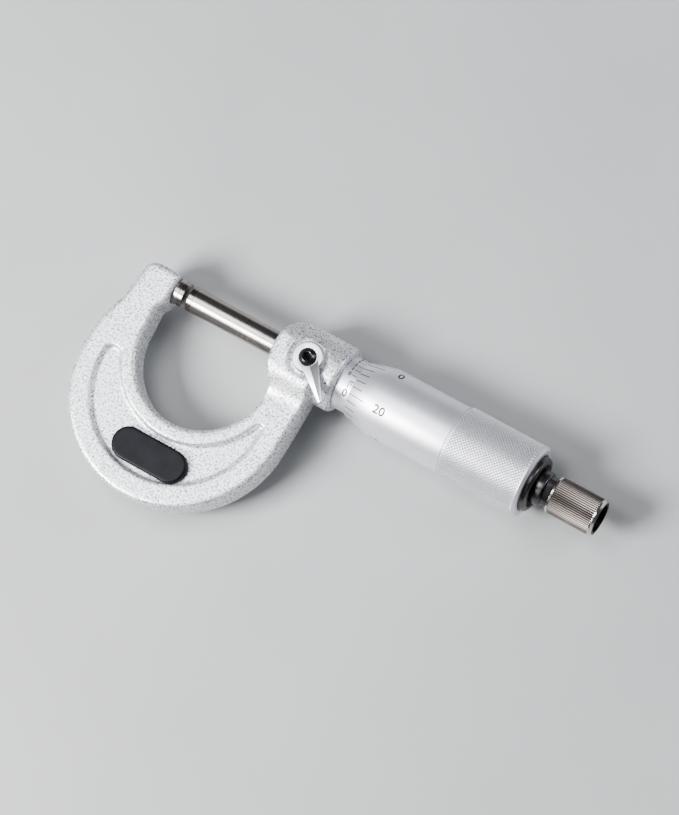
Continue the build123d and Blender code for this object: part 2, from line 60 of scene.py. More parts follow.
# ---- studio ----
# The micrometer lies flat on a pale bench top, seen from above and a little from the ratchet end.
# A long lens keeps its bow and barrel in true proportion. Three softboxes light it, the key lamp
# on the bow's side.
AIM = Vector((0.0477, -0.0062, 0.0))
CAMERA_AZIMUTH = math.radians(71.2)
CAMERA_HEIGHT = math.radians(73.5)
CAMERA_ROLL = math.radians(-42.0)
CAMERA_DISTANCE = 0.864
CAMERA_LENS = 158.0
CAMERA_NEAR = 0.01
CAMERA_FAR = 20
ROOM_COLOUR = (0.62, 0.65, 0.7, 1)
ROOM_STRENGTH = 0.13

back = Vector((
    math.sin(CAMERA_AZIMUTH) * math.cos(CAMERA_HEIGHT),
    -math.cos(CAMERA_AZIMUTH) * math.cos(CAMERA_HEIGHT),
    math.sin(CAMERA_HEIGHT)))
facing = (-back).to_track_quat("-Z", "Y")
camera = bpy.data.objects.new("camera", bpy.data.cameras.new("camera"))
scene.collection.objects.link(camera)
camera.location = AIM + back * CAMERA_DISTANCE
camera.rotation_mode = "QUATERNION"
camera.rotation_quaternion = facing @ Quaternion((0, 0, 1), CAMERA_ROLL)
camera.data.lens = CAMERA_LENS
camera.data.clip_start = CAMERA_NEAR
camera.data.clip_end = CAMERA_FAR
scene.camera = camera


def softbox(name, place, size, watts, tint=(1, 1, 1)):
    """A square diffused lamp that faces the middle of the tool."""
    lamp = bpy.data.lights.new(name, "AREA")
    lamp.shape = "SQUARE"
    lamp.size = size
    lamp.energy = watts
    lamp.color = tint
    holder = bpy.data.objects.new(name, lamp)
    scene.collection.objects.link(holder)
    holder.location = place
    holder.rotation_mode = "QUATERNION"
    holder.rotation_quaternion = (AIM - Vector(place)).to_track_quat("-Z", "Y")


softbox("key_softbox", place=(-0.26, -0.34, 0.44), size=0.26, watts=6.6)
softbox("overhead_softbox", place=(-0.13, 0.03, 0.66), size=0.30, watts=1.6, tint=(0.96, 0.98, 1))
softbox("edge_softbox", place=(0.36, 0.30, 0.30), size=0.22, watts=0.9, tint=(0.95, 0.97, 1))

world = bpy.data.worlds.new("room")
world.use_nodes = True
room = world.node_tree.nodes["Background"]
room.inputs["Color"].default_value = ROOM_COLOUR
room.inputs["Strength"].default_value = ROOM_STRENGTH
scene.world = world
scene.view_settings.view_transform = "AgX"
scene.view_settings.look = "AgX - Medium High Contrast"
scene.view_settings.exposure = 0.0


# ---- bench top ----
# A wide board under the tool, painted a plain pale grey with a faint mottle.
# It is the floor, not part of the micrometer.
BENCH_HALF = 3.0
BENCH_SQUARES = 8
BENCH_CLEARANCE = 0.0001
BENCH_MOTTLE_MM = 60


def node_in(material, kind, **values):
    """Adds a shader node, sets its properties and unlinked inputs, and returns it."""
    node = material.node_tree.nodes.new("ShaderNode" + kind)
    for key, value in values.items():
        if key in node.inputs:
            node.inputs[key].default_value = value
        else:
            setattr(node, key, value)
    return node


def blank_material(name, colour, metallic, roughness, **sockets):
    """A material with one shader, and the place on the piece that its pattern is read from."""
    material = bpy.data.materials.new(name)
    material.use_nodes = True
    shader = material.node_tree.nodes["Principled BSDF"]
    shader.inputs["Base Color"].default_value = (*colour, 1)
    shader.inputs["Metallic"].default_value = metallic
    shader.inputs["Roughness"].default_value = roughness
    for key, value in sockets.items():
        shader.inputs[key.replace("_", " ")].default_value = value
    place = node_in(material, "TexCoord").outputs["Object"]
    return material, shader, place


def link(material, source, target):
    material.node_tree.links.new(source, target)


def grain(material, place, size_mm, stretch=(1, 1, 1), detail=3.0, roughness=0.5):
    """Noise whose lumps are about that many millimetres across, with each axis stretched."""
    mapping = node_in(material, "Mapping", Scale=stretch)
    link(material, place, mapping.inputs["Vector"])
    lumps = node_in(
        material, "TexNoise", Scale=1000 / size_mm, Detail=detail, Roughness=roughness)
    link(material, mapping.outputs["Vector"], lumps.inputs["Vector"])
    return lumps.outputs["Fac"]


def ramp(material, pattern, stops):
    """Turns a grey pattern into colours: stops are (position, colour) pairs."""
    node = node_in(material, "ValToRGB")
    elements = node.color_ramp.elements
    while len(elements) < len(stops):
        elements.new(0.5)
    for element, (position, colour) in zip(elements, stops):
        element.position = position
        element.color = (*colour, 1)
    link(material, pattern, node.inputs["Fac"])
    return node.outputs["Color"]


def vary_colour(material, shader, pattern, stops):
    """Lets the colour drift along the pattern."""
    link(material, ramp(material, pattern, stops), shader.inputs["Base Color"])


bench_board = bmesh.new()
bmesh.ops.create_grid(
    bench_board, x_segments=BENCH_SQUARES, y_segments=BENCH_SQUARES, size=BENCH_HALF)
bmesh.ops.translate(
    bench_board, verts=bench_board.verts, vec=(0, 0, cad_low.z - BENCH_CLEARANCE))
bench = bpy.data.objects.new("bench_top", bpy.data.meshes.new("bench_top"))
bench_board.to_mesh(bench.data)
bench_board.free()
scene.collection.objects.link(bench)
bench_paint, bench_shader, bench_place = blank_material(
    "bench_paint", colour=(0.5, 0.505, 0.51), metallic=0, roughness=0.6)
vary_colour(bench_paint, bench_shader, grain(bench_paint, bench_place, BENCH_MOTTLE_MM),
            [(0.3, (0.48, 0.485, 0.49)), (0.7, (0.52, 0.525, 0.53))])
bench.data.materials.append(bench_paint)


# ---- frame casting ----
# The bow, anvil arm and hub are one casting, fettled and sprayed with silver hammer paint.
# Its edges are soft under the paint, and its skin is stippled.
MM = 0.001
LOOSE_TRIANGLES = 0.002
CASTING_VOXEL = 0.36
CASTING_SOFTENING = 5
SOFTENING_STEP = 0.5
CASTING_WAVE = 0.035
LONG_WAVE = 0.35
SHORT_WAVE = 1.1
SHORT_WAVE_SHARE = 0.4
WAVE_SINK = 0.5
STIPPLE_MM = 0.55
FLAKE_MM = 0.28
FLAKE_SHARE = 0.6
STIPPLE_DEPTH_MM = 0.06


def cad_copy(node):
    """A copy of a machined piece's mesh in millimetres, with its loose triangles joined up."""
    bm = bmesh.new()
    bm.from_mesh(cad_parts[node].data)
    bmesh.ops.scale(bm, vec=(1 / MM, 1 / MM, 1 / MM), verts=bm.verts)
    bmesh.ops.remove_doubles(bm, verts=bm.verts, dist=LOOSE_TRIANGLES)
    return bm


def recast(bm, voxel):
    """The same closed shape in an even skin of small faces."""
    mesh = bpy.data.meshes.new("blank")
    bm.to_mesh(mesh)
    bm.free()
    blank = bpy.data.objects.new("blank", mesh)
    scene.collection.objects.link(blank)
    skin = blank.modifiers.new("skin", "REMESH")
    skin.mode = "VOXEL"
    skin.voxel_size = voxel
    skin.adaptivity = 0
    evaluated = blank.evaluated_get(bpy.context.evaluated_depsgraph_get())
    even = bpy.data.meshes.new_from_object(evaluated)
    bpy.data.objects.remove(blank)
    recast_bm = bmesh.new()
    recast_bm.from_mesh(even)
    return recast_bm


def finished(bm, name, body, slot, *materials, stands_for=(), crease=30):
    """Turns a mesh drawn in millimetres into a piece that rides on its body."""
    bmesh.ops.scale(bm, vec=(MM, MM, MM), verts=bm.verts)
    mesh = bpy.data.meshes.new(name)
    bm.to_mesh(mesh)
    bm.free()
    mesh.shade_smooth()
    mesh.set_sharp_from_angle(angle=math.radians(crease))
    for material in materials:
        mesh.materials.append(material)
    piece = bpy.data.objects.new(name, mesh)
    scene.collection.objects.link(piece)
    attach(piece, body)
    if stands_for:
        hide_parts(*stands_for)


def vary_roughness(material, shader, pattern, low, high):
    """Lets the gloss drift along the pattern."""
    shades = ramp(material, pattern, [(0.3, (low,) * 3), (0.7, (high,) * 3)])
    link(material, shades, shader.inputs["Roughness"])


def add_bump(material, shader, pattern, depth_mm):
    """Raises the pattern's light places by that many millimetres."""
    bump = node_in(material, "Bump", Strength=1.0, Distance=depth_mm * MM)
    link(material, pattern, bump.inputs["Height"])
    link(material, bump.outputs["Normal"], shader.inputs["Normal"])


hammer_paint, paint_shader, paint_place = blank_material(
    "hammer_paint", colour=(0.7, 0.71, 0.74), metallic=0.55, roughness=0.42,
    Coat_Weight=0.12, Coat_Roughness=0.3)
stipple = grain(hammer_paint, paint_place, STIPPLE_MM, detail=2, roughness=0.6)
flakes = grain(hammer_paint, paint_place, FLAKE_MM, detail=1, roughness=0.4)
flakes_on_stipple = node_in(hammer_paint, "Math", operation="MULTIPLY_ADD")
link(hammer_paint, flakes, flakes_on_stipple.inputs[0])
flakes_on_stipple.inputs[1].default_value = FLAKE_SHARE
link(hammer_paint, stipple, flakes_on_stipple.inputs[2])
vary_colour(
    hammer_paint, paint_shader, flakes_on_stipple.outputs[0],
    [(0.60, (0.17, 0.18, 0.21)), (0.73, (0.63, 0.64, 0.67)), (0.86, (0.95, 0.96, 0.98))])
vary_roughness(hammer_paint, paint_shader, stipple, 0.5, 0.34)
add_bump(hammer_paint, paint_shader, stipple, STIPPLE_DEPTH_MM)

casting = recast(cad_copy("frame"), CASTING_VOXEL)
for _ in range(CASTING_SOFTENING):
    bmesh.ops.smooth_vert(
        casting, verts=casting.verts, factor=SOFTENING_STEP,
        use_axis_x=True, use_axis_y=True, use_axis_z=True)
casting.normal_update()
for v in casting.verts:
    wave = noise.noise(v.co * LONG_WAVE) + SHORT_WAVE_SHARE * noise.noise(v.co * SHORT_WAVE)
    v.co += v.normal * CASTING_WAVE * (wave - WAVE_SINK)
finished(casting, "frame_casting", "frame", "frame_paint", hammer_paint,
         stands_for=["frame"], crease=60)


# ---- insulating plates ----
# Two moulded black plates, glued in the bow's pockets, keep the warmth of the hand off the frame.
# Each is a stadium with a broad bevel round its face and no lettering.
PLATE_STEPS = 96
PLATE_BEVEL = 0.55
PLATE_BEVEL_STEPS = 4
PLATE_FACE_INSET = 0.5
ON_THE_MIDDLE = 0.01
MOULD_GRAIN_MM = 0.22
MOULD_GRAIN_DEPTH_MM = 0.02
PLATE_MOTTLE_MM = 4.0

moulded_black, black_shader, black_place = blank_material(
    "moulded_black", colour=(0.008, 0.009, 0.013), metallic=0, roughness=0.45,
    Specular_IOR_Level=0.22)
mould_grain = grain(moulded_black, black_place, MOULD_GRAIN_MM, detail=3)
vary_colour(moulded_black, black_shader, grain(moulded_black, black_place, PLATE_MOTTLE_MM),
            [(0.3, (0.006, 0.0065, 0.010)), (0.75, (0.014, 0.0145, 0.020))])
vary_roughness(moulded_black, black_shader, mould_grain, 0.34, 0.5)
add_bump(moulded_black, black_shader, mould_grain, MOULD_GRAIN_DEPTH_MM)


def size_of(node):
    """A CAD piece's lowest and highest corners in millimetres."""
    low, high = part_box(node)
    return low / MM, high / MM


def new_corners(made):
    """The corners that an extrusion has just made."""
    return [g for g in made["geom"] if isinstance(g, bmesh.types.BMVert)]


def insulating_plate(node, piece):
    low, high = size_of(node)
    middle = (low + high) / 2
    thickness = high.z - low.z
    radius = (high.y - low.y) / 2
    straight = (high.x - low.x) / 2 - radius
    bm = bmesh.new()
    bmesh.ops.create_circle(bm, cap_ends=True, segments=PLATE_STEPS, radius=radius)
    for v in bm.verts:
        if abs(v.co.x) > ON_THE_MIDDLE:
            v.co.x += math.copysign(straight, v.co.x)
    walls = bmesh.ops.extrude_face_region(bm, geom=bm.faces[:])
    bmesh.ops.translate(bm, verts=new_corners(walls), vec=(0, 0, thickness))
    rim = [e for e in bm.edges
           if all(v.co.z > thickness / 2 for v in e.verts) and len(e.link_faces) == 2]
    bmesh.ops.bevel(
        bm, geom=rim, offset=PLATE_BEVEL, offset_type="OFFSET", segments=PLATE_BEVEL_STEPS,
        profile=0.5, affect="EDGES", clamp_overlap=True, material=-1)
    face = max(bm.faces, key=lambda f: f.calc_center_median().z)
    bmesh.ops.inset_region(
        bm, faces=[face], thickness=PLATE_FACE_INSET, depth=0, use_even_offset=True)
    bmesh.ops.translate(bm, verts=bm.verts, vec=(middle.x, middle.y, -thickness / 2))
    if middle.z < 0:
        over = Matrix.Rotation(math.pi, 3, "X")
        bmesh.ops.rotate(bm, verts=bm.verts, cent=(0, middle.y, 0), matrix=over)
    bmesh.ops.translate(bm, verts=bm.verts, vec=(0, 0, middle.z))
    bmesh.ops.recalc_face_normals(bm, faces=bm.faces)
    finished(bm, piece, "frame", "black_plastic", moulded_black, stands_for=[node])


insulating_plate("front_insulating_plate", "front_plate_moulding")
insulating_plate("back_insulating_plate", "back_plate_moulding")


# ---- anvil and spindle ----
# Ground steel pins, 6.35 mm across, each tipped with a brazed carbide disc that is lapped flat.
# The anvil is pressed into the arm. The spindle runs in the hub and carries the thread inside.
ROUND_STEPS = 128
POLE_WELD = 0.0005
RING_STRETCH = (1, 0.03, 0.03)
RING_DEPTH_MM = 0.0004
CLOUD_MM = 6
BRAZE = 0.05
TIP_CHAMFER = 0.14
PLAIN_SHANK_L = 42.5
THREAD_PITCH = 0.635
THREAD_DEPTH = 0.35
THREAD_STEPS = 24
THREAD_LEAD_IN = 0.4
THREAD_START = 0.5
THREAD_SHORT_OF_ENDS = 1.0
CREST_SINK = 0.05
CREST_PROFILE = ((0.02, False), (0.26, True), (0.38, True), (0.61, False))
TAPER_SEAT_L = 12.0
SEAT_STEP = 0.2
SEAT_END_R = 3.1


def turned(outline, steps=ROUND_STEPS):
    """Spins a half outline of (x, radius) points about the X axis into a closed piece."""
    bm = bmesh.new()
    points = [bm.verts.new((x, r, 0)) for x, r in outline]
    pairs = zip(points, points[1:] + points[:1])
    edges = [bm.edges.new(pair) for pair in pairs if pair[0].co.y > 0 or pair[1].co.y > 0]
    bmesh.ops.spin(
        bm, geom=points + edges, cent=(0, 0, 0), axis=(1, 0, 0), dvec=(0, 0, 0),
        angle=math.tau, steps=steps, use_merge=True, use_duplicate=False)
    bmesh.ops.remove_doubles(bm, verts=bm.verts, dist=POLE_WELD)
    bmesh.ops.recalc_face_normals(bm, faces=bm.faces)
    return bm


def lathe_steel(name, colours, roughness, line_mm=0.12, metallic=1):
    """Bare metal with the fine rings that grinding or turning leaves about the X axis."""
    material, shader, place = blank_material(name, colours[1], metallic, sum(roughness) / 2)
    rings = grain(material, place, line_mm, stretch=RING_STRETCH, detail=2)
    clouds = grain(material, place, CLOUD_MM, detail=4)
    vary_colour(material, shader, clouds, [(0.3, colours[0]), (0.7, colours[1])])
    vary_roughness(material, shader, rings, *roughness)
    add_bump(material, shader, rings, RING_DEPTH_MM)
    return material, shader, place


ground_steel, _, _ = lathe_steel(
    "ground_steel", colours=[(0.36, 0.335, 0.32), (0.46, 0.43, 0.405)], roughness=(0.27, 0.30))
lapped_carbide, _, _ = lathe_steel(
    "lapped_carbide", colours=[(0.28, 0.25, 0.24), (0.38, 0.34, 0.33)], roughness=(0.2, 0.28))

anvil_low, anvil_high = size_of("anvil")
pin_radius = anvil_high.z
anvil_pin = turned([
    (anvil_low.x, 0),
    (anvil_low.x, pin_radius),
    (anvil_high.x - BRAZE, pin_radius),
    (anvil_high.x, pin_radius - BRAZE),
    (anvil_high.x, 0)])
finished(anvil_pin, "anvil_shank", "frame", "ground_steel", ground_steel, stands_for=["anvil"])


def carbide_disc(node, piece, body, face_side):
    """A tip whose outer edge is chamfered on the measuring side."""
    low, high = size_of(node)
    outline = [
        (low.x, 0),
        (low.x, high.z - BRAZE),
        (low.x + BRAZE, high.z),
        (high.x - TIP_CHAMFER, high.z),
        (high.x, high.z - TIP_CHAMFER),
        (high.x, 0)]
    if face_side < 0:
        outline = [(low.x + high.x - x, r) for x, r in outline]
    finished(turned(outline), piece, body, "carbide", lapped_carbide, stands_for=[node])


carbide_disc("anvil_carbide_tip", "anvil_tip_disc", "frame", face_side=1)
carbide_disc("spindle_carbide_tip", "spindle_tip_disc", "spindle", face_side=-1)

spindle_low, spindle_high = size_of("spindle")
crest_radius = spindle_high.z
root_radius = crest_radius - THREAD_DEPTH
thread_start = spindle_low.x + PLAIN_SHANK_L
thread_end = spindle_high.x - TAPER_SEAT_L
shank = turned([
    (spindle_low.x, 0),
    (spindle_low.x, pin_radius - BRAZE),
    (spindle_low.x + BRAZE, pin_radius),
    (thread_start, pin_radius),
    (thread_start + THREAD_LEAD_IN, root_radius),
    (thread_end, root_radius),
    (thread_end + THREAD_LEAD_IN, crest_radius - SEAT_STEP),
    (spindle_high.x, SEAT_END_R),
    (spindle_high.x, 0)])
finished(shank, "spindle_shank", "spindle", "ground_steel", ground_steel, stands_for=["spindle"])

thread = bmesh.new()
thread_turns = int((thread_end - thread_start - THREAD_SHORT_OF_ENDS) / THREAD_PITCH)
crest = [
    thread.verts.new((
        thread_start + THREAD_START + along,
        crest_radius if on_crest else root_radius - CREST_SINK,
        0))
    for along, on_crest in CREST_PROFILE]
crest_edges = [thread.edges.new(pair) for pair in zip(crest, crest[1:] + crest[:1])]
bmesh.ops.contextual_create(thread, geom=crest_edges)
bmesh.ops.spin(
    thread, geom=thread.faces[:], cent=(0, 0, 0), axis=(1, 0, 0),
    dvec=(THREAD_PITCH / THREAD_STEPS, 0, 0), angle=math.tau * thread_turns,
    steps=THREAD_STEPS * thread_turns, use_merge=False, use_duplicate=False)
bmesh.ops.recalc_face_normals(thread, faces=thread.faces)
finished(thread, "spindle_thread", "spindle", "ground_steel", ground_steel)


# ---- scale sleeve ----
# A satin chromed tube over the inner sleeve, with a small blind hole for the adjusting spanner.
# Its lines and numbers are engraved and filled black: forty divisions and an eleven-line vernier.
FLAT_WITHIN = math.radians(1)
SLEEVE_EDGE = 0.05
FILL_MOTTLE_MM = 0.4
LINE_W = 0.2
ARC_STEP = 0.35
FONT_SIZE = 1.38
FIGURE_BOLD = 0.05
FIGURE_CURVE_STEPS = 3
FIGURE_WELD = 0.001
FIGURE_FLAT_WITHIN = 0.02
FILL_PROUD = 0.008
FILL_DEPTH = 0.05
ZERO_FROM_HUB = 2.8
DIVISION = 0.635
DIVISIONS = 40
DIVISIONS_PER_FIGURE = 4
SHORT_TICK = 1.2
LONG_TICK = 2.0
FIGURE_H = 2.0
FIGURE_BELOW_TICK = 1.3
VERNIER_STEP = math.radians(12.96)
VERNIER_LINES = 11
VERNIER_L = 24.0
VERNIER_BEFORE_ZERO = 0.4
VERNIER_LINE_W = 0.16
VERNIER_FIGURE_H = 1.0
VERNIER_FIGURE_GAP = 1.1

satin_chrome, _, _ = lathe_steel(
    "satin_chrome", colours=[(0.84, 0.84, 0.89), (0.90, 0.90, 0.95)], roughness=(0.42, 0.46),
    metallic=0.75)
engraving_fill, fill_shader, fill_place = blank_material(
    "engraving_fill", colour=(0.02, 0.02, 0.024), metallic=0, roughness=0.55)
vary_colour(engraving_fill, fill_shader, grain(engraving_fill, fill_place, FILL_MOTTLE_MM),
            [(0.3, (0.012, 0.012, 0.015)), (0.75, (0.05, 0.05, 0.058))])


def break_edges(bm, width, segments=2, sharper_than=25):
    """Rounds every edge that is sharper than that many degrees."""
    limit = math.radians(sharper_than)
    sharp = [e for e in bm.edges if e.is_manifold and e.calc_face_angle() > limit]
    bmesh.ops.bevel(
        bm, geom=sharp, offset=width, offset_type="OFFSET", segments=segments, profile=0.5,
        affect="EDGES", clamp_overlap=True, material=-1)


def machined_copy(node):
    """A machined piece's copy whose flat faces are whole, ready to have its edges broken."""
    bm = cad_copy(node)
    bmesh.ops.dissolve_limit(
        bm, angle_limit=FLAT_WITHIN, use_dissolve_boundaries=False,
        verts=bm.verts, edges=bm.edges, delimit=set())
    return bm


sleeve_low, sleeve_high = size_of("scale_sleeve")
sleeve_radius = sleeve_high.z
sleeve = machined_copy("scale_sleeve")
break_edges(sleeve, SLEEVE_EDGE, sharper_than=30)
finished(sleeve, "scale_sleeve_tube", "scale_sleeve", "satin_chrome", satin_chrome,
         stands_for=["scale_sleeve"])


def flat_line(bm, x, y, along, across):
    """One engraved line, laid out flat: its middle, its size along the barrel and round it."""
    bmesh.ops.create_grid(
        bm, x_segments=1, y_segments=max(1, round(across / ARC_STEP)), size=0.5,
        matrix=Matrix.Translation((x, y, 0)) @ Matrix.Diagonal((along, across, 1, 1)))


def flat_number(bm, text, x, y, height):
    """Figures laid out flat, with long edges cut so that they can bend round the barrel."""
    curve = bpy.data.curves.new("figures", "FONT")
    curve.body = text
    curve.size = height * FONT_SIZE
    curve.align_x = "CENTER"
    curve.align_y = "CENTER"
    curve.resolution_u = FIGURE_CURVE_STEPS
    curve.offset = FIGURE_BOLD
    holder = bpy.data.objects.new("figures", curve)
    flat = bpy.data.meshes.new_from_object(holder)
    bpy.data.objects.remove(holder)
    flat.transform(Matrix.Translation((x, y, 0)))
    figures = bmesh.new()
    figures.from_mesh(flat)
    bmesh.ops.remove_doubles(figures, verts=figures.verts, dist=FIGURE_WELD)
    bmesh.ops.dissolve_limit(
        figures, angle_limit=FIGURE_FLAT_WITHIN, use_dissolve_boundaries=False,
        verts=figures.verts, edges=figures.edges, delimit=set())
    bmesh.ops.triangulate(figures, faces=figures.faces)
    long_edges = [e for e in figures.edges if e.calc_length() > ARC_STEP]
    bmesh.ops.subdivide_edges(figures, edges=long_edges, cuts=2, use_grid_fill=True)
    bmesh.ops.triangulate(figures, faces=figures.faces)
    figures.to_mesh(flat)
    figures.free()
    bm.from_mesh(flat)


def engrave(bm, reference_radius, radius_at):
    """Gives the flat marks their depth and bends them round the barrel. Y = 0 faces the front."""
    bmesh.ops.recalc_face_normals(bm, faces=bm.faces)
    deep = bmesh.ops.extrude_face_region(bm, geom=bm.faces[:])
    for v in new_corners(deep):
        v.co.z -= FILL_PROUD + FILL_DEPTH
    for v in bm.verts:
        angle = math.pi / 2 - v.co.y / reference_radius
        radius = radius_at(v.co.x) + FILL_PROUD + v.co.z
        v.co = (v.co.x, radius * math.cos(angle), radius * math.sin(angle))
    bmesh.ops.recalc_face_normals(bm, faces=bm.faces)


scale_marks = bmesh.new()
zero_x = sleeve_low.x + ZERO_FROM_HUB
scale_length = DIVISIONS * DIVISION
flat_line(scale_marks, zero_x + scale_length / 2, 0, scale_length + LINE_W, LINE_W)
for step in range(DIVISIONS + 1):
    x = zero_x + step * DIVISION
    figure, short = divmod(step, DIVISIONS_PER_FIGURE)
    tick = SHORT_TICK if short else LONG_TICK
    flat_line(scale_marks, x, -tick / 2, LINE_W, tick)
    if not short:
        flat_number(scale_marks, str(figure), x, -LONG_TICK - FIGURE_BELOW_TICK, FIGURE_H)
for line in range(VERNIER_LINES):
    y = (line + 1) * VERNIER_STEP * sleeve_radius
    flat_line(scale_marks, zero_x + VERNIER_L / 2 - VERNIER_BEFORE_ZERO, y,
              VERNIER_L, VERNIER_LINE_W)
    flat_number(scale_marks, str(line % 10), zero_x - VERNIER_FIGURE_GAP, y, VERNIER_FIGURE_H)
engrave(scale_marks, sleeve_radius, lambda x: sleeve_radius)
finished(scale_marks, "sleeve_graduations", "scale_sleeve", "black_steel", engraving_fill)


# ---- thimble ----
# A satin chromed barrel with a bevelled lip, twenty-five divisions on the bevel and a
# diamond-knurled grip that the turning tool left with a bright chamfer at its end.
BARREL_STEPS = 192
LIP_R = 7.32
LIP_BORE_R = 7.12
LIP_EDGE = 0.05
LIP_EDGE_L = 0.06
BEVEL_L = 6.6
BARREL_R = 8.85
GROOVE_L = 0.4
GROOVE_DEPTH = 0.3
GROOVE_WALL = 0.08
KNURL_L = 21.4
KNURL_DEPTH = 0.24
KNURL_WALL = 0.1
END_BAND = 0.3
END_BAND_WALL = 0.05
END_CHAMFER = 0.6
CAP_POCKET_R = 7.22
CAP_POCKET_L = 4.4
CAP_POCKET_CHAMFER = 0.3
TAIL_BORE_R = 3.3
TAIL_BORE_TAPER = 0.4
LIP_BORE_END = 15.9
KNURLS_ROUND = 64
KNURLS_ALONG = 23
KNURL_LAND = 0.14
KNURL_FROM_WALL = 0.06
KNURL_TO_BAND = 0.02
KNURL_SKIRT = 0.3
KNURL_WELD = 0.001
KNURL_UNSHADED_TOP = 0.03
THIMBLE_DIVISIONS = 25
THIMBLE_DIVISIONS_PER_FIGURE = 5
THIMBLE_READING = 21.5
THIMBLE_LINE_W = 0.23
THIMBLE_LINE_FROM_LIP = 0.12
THIMBLE_SHORT_LINE = 2.7
THIMBLE_LONG_LINE = 4.4
THIMBLE_FIGURE_H = 2.3
THIMBLE_FIGURE_FROM_LIP = 9.0

thimble_low, thimble_high = size_of("thimble")
lip_x = thimble_low.x
end_x = thimble_high.x
knurl_x = end_x - KNURL_L
band_x = end_x - END_CHAMFER - END_BAND
knurl_radius = thimble_high.z
knurl_floor = knurl_radius - KNURL_DEPTH
barrel = turned([
    (lip_x, LIP_BORE_R),
    (lip_x, LIP_R - LIP_EDGE),
    (lip_x + LIP_EDGE_L, LIP_R),
    (lip_x + BEVEL_L, BARREL_R),
    (knurl_x - GROOVE_L, BARREL_R),
    (knurl_x - GROOVE_L + GROOVE_WALL, BARREL_R - GROOVE_DEPTH),
    (knurl_x, BARREL_R - GROOVE_DEPTH),
    (knurl_x + KNURL_WALL, knurl_floor),
    (band_x - END_BAND_WALL, knurl_floor),
    (band_x, knurl_radius),
    (end_x - END_CHAMFER, knurl_radius),
    (end_x, knurl_radius - END_CHAMFER),
    (end_x, CAP_POCKET_R + CAP_POCKET_CHAMFER),
    (end_x - CAP_POCKET_CHAMFER, CAP_POCKET_R),
    (end_x - CAP_POCKET_L, CAP_POCKET_R),
    (end_x - CAP_POCKET_L, TAIL_BORE_R),
    (end_x - LIP_BORE_END, TAIL_BORE_R + TAIL_BORE_TAPER),
    (end_x - LIP_BORE_END, LIP_BORE_R)], steps=BARREL_STEPS)
finished(barrel, "thimble_barrel", "thimble", "satin_chrome", satin_chrome,
         stands_for=["thimble"])

knurled_chrome, knurl_shader, knurl_place = lathe_steel(
    "knurled_chrome", colours=[(0.90, 0.90, 0.93), (0.96, 0.96, 0.98)], roughness=(0.38, 0.42),
    line_mm=1.2, metallic=0.75)


def from_axis(point):
    """How far a point is from the X axis."""
    return math.hypot(point.y, point.z)


def set_radius(v, radius):
    """Moves a corner straight in or out, to that distance from the X axis."""
    share = radius / from_axis(v.co)
    v.co.y *= share
    v.co.z *= share


def darken_cuts(material, shader, place, bottom_mm, top_mm, dark):
    """Paints shade into the colour: darker towards the bottom of cuts, where their walls shade
    them.
    """
    split = node_in(material, "SeparateXYZ")
    link(material, place, split.inputs["Vector"])
    across = node_in(material, "CombineXYZ")
    link(material, split.outputs["Y"], across.inputs["Y"])
    link(material, split.outputs["Z"], across.inputs["Z"])
    reach = node_in(material, "VectorMath", operation="LENGTH")
    link(material, across.outputs["Vector"], reach.inputs[0])
    height = node_in(material, "MapRange")
    height.inputs["From Min"].default_value = bottom_mm * MM
    height.inputs["From Max"].default_value = top_mm * MM
    link(material, reach.outputs["Value"], height.inputs["Value"])
    unshaded_colour = shader.inputs["Base Color"].links[0].from_socket
    mix = node_in(material, "Mix", data_type="RGBA")
    link(material, height.outputs["Result"], mix.inputs["Factor"])
    mix.inputs["A"].default_value = (*dark, 1)
    link(material, unshaded_colour, mix.inputs["B"])
    link(material, mix.outputs["Result"], shader.inputs["Base Color"])


# Painted shade: the knurl's colour darkens towards the bottom of its cuts.
darken_cuts(knurled_chrome, knurl_shader, knurl_place, knurl_floor,
            knurl_radius - KNURL_UNSHADED_TOP, dark=(0.58, 0.58, 0.62))
knurl_start = knurl_x + KNURL_FROM_WALL
knurl_end = band_x - KNURL_TO_BAND
knurl = bmesh.new()
knurl_points = [
    knurl.verts.new((
        knurl_start + (knurl_end - knurl_start) * row / KNURLS_ALONG,
        knurl_floor,
        0))
    for row in range(KNURLS_ALONG + 1)]
knurl_edges = [knurl.edges.new(pair) for pair in zip(knurl_points, knurl_points[1:])]
bmesh.ops.spin(
    knurl, geom=knurl_points + knurl_edges, cent=(0, 0, 0), axis=(1, 0, 0), dvec=(0, 0, 0),
    angle=math.tau, steps=KNURLS_ROUND, use_merge=True, use_duplicate=False)
bmesh.ops.remove_doubles(knurl, verts=knurl.verts, dist=KNURL_WELD)
square_edges = knurl.edges[:]
for v in bmesh.ops.poke(knurl, faces=knurl.faces[:])["verts"]:
    set_radius(v, knurl_floor)
inner_edges = [e for e in square_edges if len(e.link_faces) == 2]
bmesh.ops.dissolve_edges(knurl, edges=inner_edges, use_verts=False)
bmesh.ops.recalc_face_normals(knurl, faces=knurl.faces)
diamonds = [f for f in knurl.faces if len(f.verts) == 4]
bmesh.ops.inset_individual(
    knurl, faces=diamonds, thickness=KNURL_LAND, depth=0, use_even_offset=True)
for face in diamonds:
    for v in face.verts:
        set_radius(v, knurl_radius)
open_ends = [e for e in knurl.edges if e.is_boundary]
for v in new_corners(bmesh.ops.extrude_edge_only(knurl, edges=open_ends)):
    set_radius(v, knurl_floor - KNURL_SKIRT)
bmesh.ops.bridge_loops(knurl, edges=[e for e in knurl.edges if e.is_boundary])
bmesh.ops.recalc_face_normals(knurl, faces=knurl.faces)
finished(knurl, "thimble_knurling", "thimble", "satin_chrome", knurled_chrome, crease=15)

